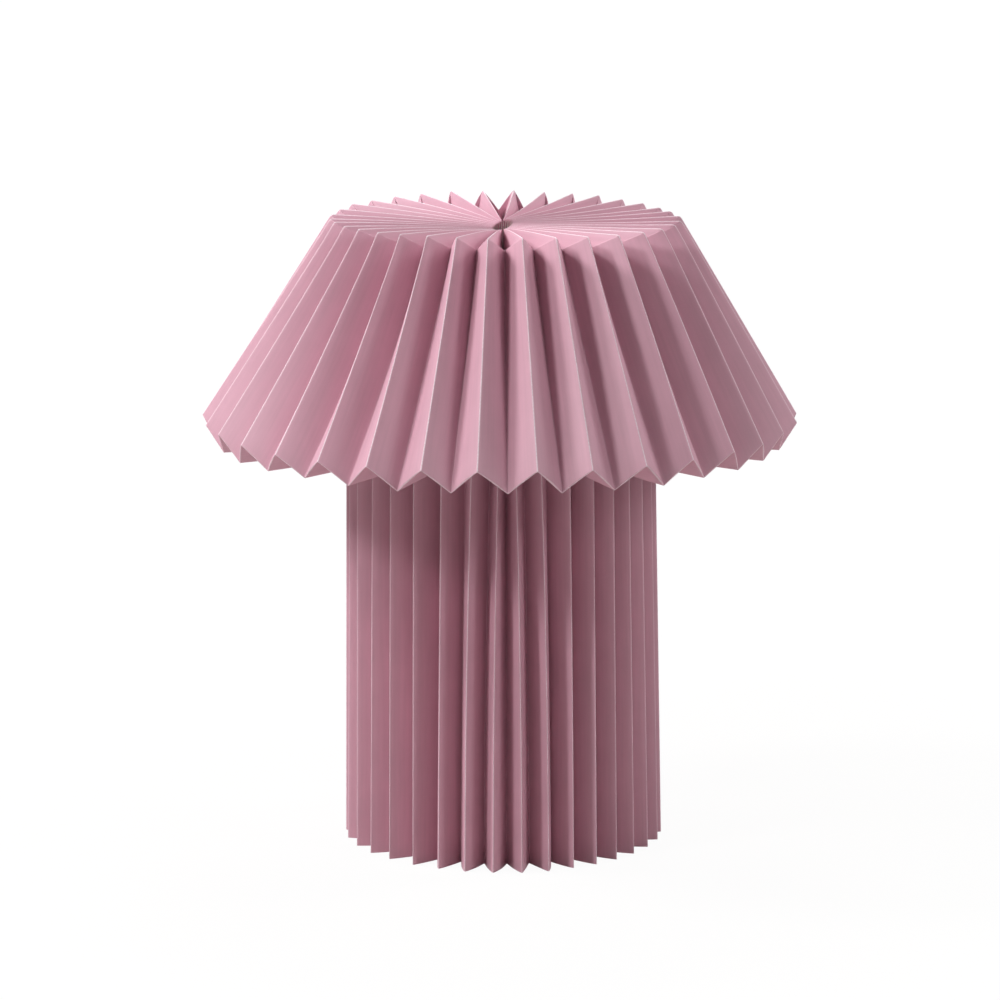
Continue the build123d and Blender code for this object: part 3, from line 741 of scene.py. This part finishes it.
# A strip is the sheet's own inner face near a ridge, out to a few columns each side, moved inwards twice:
# by the glue, and by the glue and its thickness. The move that keeps the distance to both panels is the
# distance over the sine of half the fold. The loop of both layers is carried along the fold and closed at
# its ends.
def seamStrips(name, inner, body, node):
    rows, columns = inner.shape[:2]
    perPleat = columns // paper["pleats"]
    ridgeColumn = np.array(strip["seams"]) * perPleat
    fold = inner[:, ridgeColumn]
    valleys = [inner[:, (ridgeColumn + side * perPleat // 2) % columns] for side in (-1, 1)]
    inward = (valleys[0] + valleys[1]) / 2 - fold
    inward /= np.linalg.norm(inward, axis=2, keepdims=True)
    inward *= 2 * paper["panel"] / np.linalg.norm(valleys[1] - valleys[0], axis=2, keepdims=True)
    beside = np.arange(-strip["reach"], strip["reach"] + 1)
    near = inner[:, (ridgeColumn[:, None] + beside) % columns] + strip["glue"] * inward[:, :, None]
    far = near + strip["thick"] * inward[:, :, None]
    loop = np.concatenate([near, far[:, :, ::-1]], axis=2).transpose(1, 0, 2, 3)
    count, around = len(ridgeColumn), loop.shape[2]
    s, r, c = np.meshgrid(np.arange(count), np.arange(rows - 1), np.arange(around), indexing="ij")
    start, n = s * rows * around, (c + 1) % around
    here, above = start + r * around, start + (r + 1) * around
    skin = np.stack([here + c, here + n, above + n, above + c], axis=3)
    i = np.arange(len(beside) - 1)
    firstEnd = np.stack([i, around - 1 - i, around - 2 - i, i + 1], axis=1)
    lastEnd = np.stack([i, i + 1, around - 2 - i, around - 1 - i], axis=1) + (rows - 1) * around
    ends = np.concatenate([firstEnd, lastEnd]) + (np.arange(count) * rows * around)[:, None, None]
    quads = np.concatenate([skin.reshape(-1, 4), ends.reshape(-1, 4)])
    piece = addPiece(name, loop.reshape(-1, 3) * mm, quads, [finishOf["dyed card strip"]], body)
    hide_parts(node)


skirtStart = shade["returnRows"] + shade["creaseRows"] - 1
skirtEnd = skirtStart + shade["skirtRows"]
skirtInner = shadeInner[skirtStart + strip["clear"] : skirtEnd - strip["clear"]]
seamStrips("shadeSeamStrips", skirtInner, "shade", "shade_seam_strips")
seamStrips("sleeveSeamStrips", sleeveInner[1:-1], "sleeve", "sleeve_seam_strips")
print("seams: strips folded")

# The most of an edge that a rounded corner takes, and its points
softCorner = {"most": 0.45, "points": 5}


# Closed outline of radius and height with every corner cut back and rounded, then spaced evenly
def softOutline(corners, rounding, count):
    corners = np.array(corners, float)

    def cutBack(other):
        share = rounding / np.linalg.norm(other - corners, axis=1)
        return corners + (other - corners) * np.minimum(share, softCorner["most"])[:, None]

    start, end = cutBack(np.roll(corners, 1, axis=0)), cutBack(np.roll(corners, -1, axis=0))
    path = bend(start[:, None], corners[:, None], end[:, None], softCorner["points"]).reshape(-1, 2)
    path = np.concatenate([path, path[:1]])
    length = np.append(0, np.cumsum(np.linalg.norm(np.diff(path, axis=0), axis=1)))
    spots = np.union1d(np.linspace(0, length[-1], count), length)[:-1]
    return np.stack([np.interp(spots, length, path[:, i]) for i in (0, 1)], axis=1)


# Outline of a tube or cone from its inner and outer radius at the low and the high end
def tubeOutline(size, low, high):
    (innerLow, outerLow), (innerHigh, outerHigh) = size["low"], size["high"]
    corners = [(innerLow, low), (outerLow, low), (outerHigh, high), (innerHigh, high)]
    return softOutline(corners, size["soft"], size["rows"])


# Turned piece: the outline carried round the axis. carve gets radius, height and angle grids and gives the
# radius back, so a thread is a wave of height over pitch less turns, and a grip is a wave of angle.
def turnedPiece(name, outline, finish, body, slot, node, carve=None, around=96):
    angle = np.arange(around) * (2 * math.pi / around)
    radius, height, angle = np.broadcast_arrays(outline[:, :1], outline[:, 1:], angle[None, :])
    if carve is not None:
        radius = carve(radius, height, angle)
    points = np.stack([radius * np.cos(angle), radius * np.sin(angle), height], axis=2).reshape(-1, 3) * mm
    rows = len(outline)
    i, j = np.meshgrid(np.arange(rows), np.arange(around), indexing="ij")
    here, above, n = i * around, (i + 1) % rows * around, (j + 1) % around
    quads = np.stack([here + j, here + n, above + n, above + j], axis=2).reshape(-1, 4)
    piece = addPiece(name, points, quads, [finishOf[finish]], body, sharp=40)
    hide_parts(node)
    return piece


# Heights and largest radius of a CAD node, in mm
def heights(node):
    low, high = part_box(node)
    return low[2] / mm, high[2] / mm


def widest(node):
    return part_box(node)[1][0] / mm


# Round-topped screw thread, 1 in the groove and 0 on the crest
def threadWave(height, angle, pitch):
    return 0.5 - 0.5 * np.cos(2 * math.pi * (height / pitch - angle / (2 * math.pi)))


# 0 at both ends and 1 between them, from this far in
def awayFromEnds(height, low, high, fade):
    return np.clip(np.minimum(height - low, high - height) / fade, 0, 1)


# How near to a wall's radius a point has to be to count as on it, in mm
wallSkin = 0.15


def onWall(radius, wall):
    return np.abs(radius - wall) < wallSkin


# Bulb cap, stamped with its thread, which sinks to the groove at both ends
bulbThread = {"pitch": 3.629, "depth": 0.9, "fade": 2.2}
bulbCap = {"low": (12.6, 13.0), "high": (12.6, 13.0), "soft": 0.15, "rows": 220}
low, high = heights("bulb_cap")


def capCarve(radius, height, angle):
    ends = awayFromEnds(height, low, high, bulbThread["fade"])
    return radius - bulbThread["depth"] * (1 - ends * (1 - threadWave(height, angle, bulbThread["pitch"])))


capOutline = tubeOutline(bulbCap, low, high)
turnedPiece("bulbCap", capOutline, "nickel-plated brass", "bulb", "nickel", "bulb_cap", capCarve)

# Glass bead that closes the cap: a soft cone, no wider than the thread's groove so that it clears the shell
bead = {"hole": 3.5, "foot": 6.0, "top": 12.0, "rim": 0.6, "soft": 0.5, "rows": 60}
low, high = heights("bulb_insulator")
hole, foot, top = bead["hole"], bead["foot"], bead["top"]
beadCorners = [(hole, low), (foot, low), (top, high - bead["rim"]), (top, high), (hole, high)]
beadOutline = softOutline(beadCorners, bead["soft"], bead["rows"])
turnedPiece("bulbInsulator", beadOutline, "black glass bead", "bulb", "black_glass", "bulb_insulator")

# Screw shell with the same thread a running clearance outside it
screwShell = {"low": (13.4, 13.9), "high": (13.4, 13.9), "soft": 0.2, "rows": 220}
low, high = heights("screw_shell")


def shellCarve(radius, height, angle):
    ends = awayFromEnds(height, low, high, bulbThread["fade"])
    return radius - bulbThread["depth"] * ends * threadWave(height, angle, bulbThread["pitch"])


shellOutline = tubeOutline(screwShell, low, high)
turnedPiece("screwShell", shellOutline, "pressed sheet brass", "stand", "brass", "screw_shell", shellCarve)

# Bulb collar: a cone with a soft rim
bulbCollar = {"low": (11.5, 13.0), "high": (25.0, 26.5), "soft": 0.5, "rows": 60}
collarOutline = tubeOutline(bulbCollar, *heights("bulb_collar"))
turnedPiece("bulbCollar", collarOutline, "moulded polycarbonate", "bulb", "bulb_plastic", "bulb_collar")

# Bulb globe: a ball with a thin wall, cut where the collar takes it
globe = {"radius": 30.0, "wall": 1.0, "rows": 40, "weld": 1e-6}
low, high = heights("bulb_globe")
middle = high - globe["radius"]
outer, hollow = globe["radius"], globe["radius"] - globe["wall"]
outside = np.linspace(math.asin((low - middle) / outer), math.pi / 2, globe["rows"])
within = np.linspace(math.pi / 2, math.asin((low - middle) / hollow), globe["rows"])
reach = np.repeat([outer, hollow], globe["rows"])
sweep = np.concatenate([outside, within])
globeOutline = np.stack([np.abs(reach * np.cos(sweep)), middle + reach * np.sin(sweep)], axis=1)
globePiece = turnedPiece("bulbGlobe", globeOutline, "opal polycarbonate", "bulb", "opal", "bulb_globe")
shell = bmesh.new()
shell.from_mesh(globePiece.data)
bmesh.ops.remove_doubles(shell, verts=shell.verts, dist=globe["weld"])     # closes the poles
shell.to_mesh(globePiece.data)
shell.free()

# Finish, body and slot of the holder's mouldings
resin = ("moulded urea resin", "stand", "white_plastic")

# Holder cap: moulded, with grip ribs round its upper wall
holderCap = {
    "hole": 5.15,
    "foot": 13.0,
    "hollow": 11.0,
    "outer": 19.75,
    "inner": 17.75,
    "floor": 4.0,           # thickness of the bottom
    "step": 2.0,            # how much higher the wall begins inside
    "soft": 0.8,
    "rows": 120,
    "around": 256,
    "ribs": 32,
    "ribDepth": 0.5,
    "ribSteep": 2.0,
    "ribEnds": (0.5, 1.5),  # mm of plain wall below and above
    "ribFade": 0.8,
}
low, high = heights("holder_cap")
floorTop = low + holderCap["floor"]
knee = (floorTop + high) / 2
hole, outer, inner = holderCap["hole"], holderCap["outer"], holderCap["inner"]
capCorners = [
    (hole, low),
    (holderCap["foot"], low),
    (outer, knee),
    (outer, high),
    (inner, high),
    (inner, knee + holderCap["step"]),
    (holderCap["hollow"], floorTop),
    (hole, floorTop),
]


def ribCarve(radius, height, angle):
    ribs = np.clip(np.cos(holderCap["ribs"] * angle) * holderCap["ribSteep"], -1, 1) * 0.5 - 0.5
    below, over = holderCap["ribEnds"]
    ends = awayFromEnds(height, knee + below, high - over, holderCap["ribFade"])
    return radius + holderCap["ribDepth"] * ribs * onWall(radius, holderCap["outer"]) * ends


ribOutline = softOutline(capCorners, holderCap["soft"], holderCap["rows"])
turnedPiece("holderCap", ribOutline, *resin, "holder_cap", ribCarve, holderCap["around"])

# Holder skirt with the coarse outside thread that its clamp ring runs on
holderSkirt = {
    "bore": 16.75,
    "flange": 23.0,
    "outer": 19.75,
    "mouth": 14.2,
    "thick": 3.0,               # of the flange and of the lip at the mouth
    "soft": 0.5,
    "rows": 260,
    "pitch": 2.5,
    "depth": 0.55,
    "threadEnds": (5.0, 1.5),   # mm without thread below and above
    "threadFade": 1.5,
}
low, high = heights("holder_skirt")
bore, flange, outer, mouth = (holderSkirt[key] for key in ("bore", "flange", "outer", "mouth"))
lowStep, highStep = low + holderSkirt["thick"], high - holderSkirt["thick"]
skirtCorners = [
    (bore, low),
    (flange, low),
    (flange, lowStep),
    (outer, lowStep),
    (outer, high),
    (mouth, high),
    (mouth, highStep),
    (bore, highStep),
]


def ringThread(radius, height, angle):
    wave = threadWave(height, angle, holderSkirt["pitch"])
    below, over = holderSkirt["threadEnds"]
    ends = awayFromEnds(height, low + below, high - over, holderSkirt["threadFade"])
    return radius - holderSkirt["depth"] * wave * onWall(radius, holderSkirt["outer"]) * ends


skirtOutline = softOutline(skirtCorners, holderSkirt["soft"], holderSkirt["rows"])
turnedPiece("holderSkirt", skirtOutline, *resin, "holder_skirt", ringThread)

# Clamp ring with a scalloped grip
clampRing = {
    "low": (19.9, 27.0),
    "high": (19.9, 27.0),
    "soft": 0.6,
    "rows": 60,
    "around": 384,
    "flutes": 24,
    "fluteRadius": 1.2,
    "fluteFrom": 25.5,      # radius at which flutes begin, and mm over which they reach their depth
    "fluteFade": 1.2,
}


def fluteCarve(radius, height, angle):
    pitch = 2 * math.pi / clampRing["flutes"]
    aside = clampRing["low"][1] * (np.mod(angle + pitch / 2, pitch) - pitch / 2)
    scoop = np.sqrt(np.maximum(clampRing["fluteRadius"] ** 2 - aside**2, 0))
    return radius - scoop * np.clip((radius - clampRing["fluteFrom"]) / clampRing["fluteFade"], 0, 1)


gripOutline = tubeOutline(clampRing, *heights("shade_clamp_ring"))
turnedPiece("shadeClampRing", gripOutline, *resin, "shade_clamp_ring", fluteCarve, clampRing["around"])

# Stem cover: a plain tube with its ends eased
stemCover = {"low": (6.5, 8.0), "high": (6.5, 8.0), "soft": 0.4, "rows": 40}
coverOutline = tubeOutline(stemCover, *heights("stem_cover"))
turnedPiece("stemCover", coverOutline, "powder-coated steel", "stand", "white_steel", "stem_cover")

# Wire rings that hold the folds
wire = {"radius": 1.5, "sides": 16, "steps": 192}
wireAngle = np.linspace(0, 2 * math.pi, wire["sides"], endpoint=False)
wireOut, wireUp = wire["radius"] * np.cos(wireAngle), wire["radius"] * np.sin(wireAngle)
for name, node, body in (("shadeRing", "shade_ring", "shade"), ("sleeveRing", "sleeve_ring", "sleeve")):
    low, high = heights(node)
    ringRadius = widest(node) - wire["radius"]
    ringOutline = np.stack([ringRadius + wireOut, (low + high) / 2 + wireUp], axis=1)
    turnedPiece(name, ringOutline, "powder-coated steel", body, "white_steel", node, around=wire["steps"])

# Tie thread: three plies twisted round each other on one ring. Each ply is a round section whose middle
# goes round the thread's middle line, as often as the lay says in one turn of the ring.
tie = {"plies": 3, "ply": 0.3, "lay": 60, "steps": 720, "sides": 8}
low, high = heights("shade_tie")
tieRadius = widest("shade_tie") - (high - low) / 2
along = np.linspace(0, 2 * math.pi, tie["steps"], endpoint=False)[None, :, None]
plyTurn = (np.arange(tie["plies"]) * (2 * math.pi / tie["plies"]))[:, None, None] + tie["lay"] * along
section = np.linspace(0, 2 * math.pi, tie["sides"], endpoint=False)[None, None, :]
out = tieRadius + tie["ply"] * (np.cos(plyTurn) + np.cos(section))
up = (low + high) / 2 + tie["ply"] * (np.sin(plyTurn) + np.sin(section))
points = np.stack([out * np.cos(along), out * np.sin(along), up], axis=3).reshape(-1, 3) * mm
counts = [np.arange(tie[key]) for key in ("plies", "steps", "sides")]
p, s, k = np.meshgrid(*counts, indexing="ij")
here = (p * tie["steps"] + s) * tie["sides"]
above = (p * tie["steps"] + (s + 1) % tie["steps"]) * tie["sides"]
n = (k + 1) % tie["sides"]
quads = np.stack([here + k, above + k, above + n, here + n], axis=3).reshape(-1, 4)
tiePiece = addPiece("shadeTie", points, quads, [finishOf["waxed cotton thread"]], "shade", sharp=80)
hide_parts("shade_tie")
print("stand and bulb: turned pieces made")


# 1 for what the eye meets: straight on, in a reflection or through something clear
def seenRays(tree):
    rays = addNode(tree, "ShaderNodeLightPath").outputs
    mirrored = sumOf(tree, "MAXIMUM", rays["Is Glossy Ray"], rays["Is Transmission Ray"])
    return sumOf(tree, "MAXIMUM", rays["Is Camera Ray"], mirrored)


# Pale floor that is white to the camera and keeps the lamp's shadow
floor = {
    "half": 16.0,       # metres
    "drop": 0.2,        # mm below the felt
    "tone": "#d8d0cd",
    "white": 1.02,
    "lift": 0.93,       # share of white near the lamp
    "near": 0.25,       # metres from the lamp at which that share starts to grow, and at which all is white
    "far": 1.2,
}

# Matt studio paper: a soft shadow by the lamp that fades into even white
floorStuff, tree = newMaterial("white studio paper")
place = addNode(tree, "ShaderNodeTexCoord")
away = addNode(tree, "ShaderNodeVectorMath", {}, {0: place.outputs["Object"]}, operation="LENGTH")
lift = ranged(tree, away.outputs["Value"], (floor["near"], floor["far"]), (floor["lift"], 1))
shown = sumOf(tree, "MULTIPLY", seenRays(tree), lift)
matt = addNode(tree, "ShaderNodeBsdfDiffuse", {"Color": colour(floor["tone"])})
white = addNode(tree, "ShaderNodeEmission", {"Strength": floor["white"]})
both = addNode(tree, "ShaderNodeMixShader", {}, {0: shown, 1: matt.outputs[0], 2: white.outputs[0]})
addNode(tree, "ShaderNodeOutputMaterial", {}, {"Surface": both.outputs[0]})
span = np.array([-floor["half"], floor["half"]])
floorX, floorY = np.meshgrid(span, span)
floorZ = np.full_like(floorX, -floor["drop"] * mm)
floorPoints = np.stack([floorX, floorY, floorZ], axis=2).reshape(-1, 3)
floorMesh = bpy.data.meshes.new("floor")
floorMesh.from_pydata(floorPoints.tolist(), [], [(0, 1, 3, 2)])
floorMesh.materials.append(floorStuff)
floorObject = bpy.data.objects.new("floor", floorMesh)
scene.collection.objects.link(floorObject)
floorObject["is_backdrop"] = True

# White to the eye and in reflections, dim as light on the lamp
sky = {"light": 0.01}
world = bpy.data.worlds.new("studio")
scene.world = world
world.use_nodes = True
tree = world.node_tree
tree.nodes.clear()
bright = ranged(tree, seenRays(tree), (0, 1), (sky["light"], 1))
air = addNode(tree, "ShaderNodeBackground", {"Color": (1, 1, 1, 1)}, {"Strength": bright})
addNode(tree, "ShaderNodeOutputWorld", {}, {"Surface": air.outputs[0]})

# Round softboxes that point at the lamp's upper half: place and size in metres, and watts
aimHeight = 0.3
lamps = {
    "left": {"place": (-1.757, -1.474, 1.906), "size": 0.5, "watts": 29.0},
    "leftSide": {"place": (-1.972, -0.173, 2.280), "size": 0.6, "watts": 44.0},
    "leftBack": {"place": (-2.079, 0.969, 1.906), "size": 0.8, "watts": 13.0},
    "right": {"place": (2.198, -1.269, 1.483), "size": 0.8, "watts": 14.0},
    "rightHigh": {"place": (1.551, -0.416, 2.594), "size": 0.8, "watts": 6.0},
    "rightBack": {"place": (2.079, 0.969, 1.906), "size": 0.8, "watts": 21.0},
    "back": {"place": (0.0, 1.800, 2.445), "size": 1.2, "watts": 28.0},
}
for name, lamp in lamps.items():
    data = bpy.data.lights.new(name, "AREA")
    data.shape = "DISK"
    data.size = lamp["size"]
    data.energy = lamp["watts"]
    lampObject = bpy.data.objects.new(name, data)
    lampObject.location = lamp["place"]
    aim = Vector((0, 0, aimHeight)) - lampObject.location
    lampObject.rotation_euler = aim.to_track_quat("-Z", "Y").to_euler()
    scene.collection.objects.link(lampObject)
print("light: %d lamps" % len(lamps))

low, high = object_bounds()
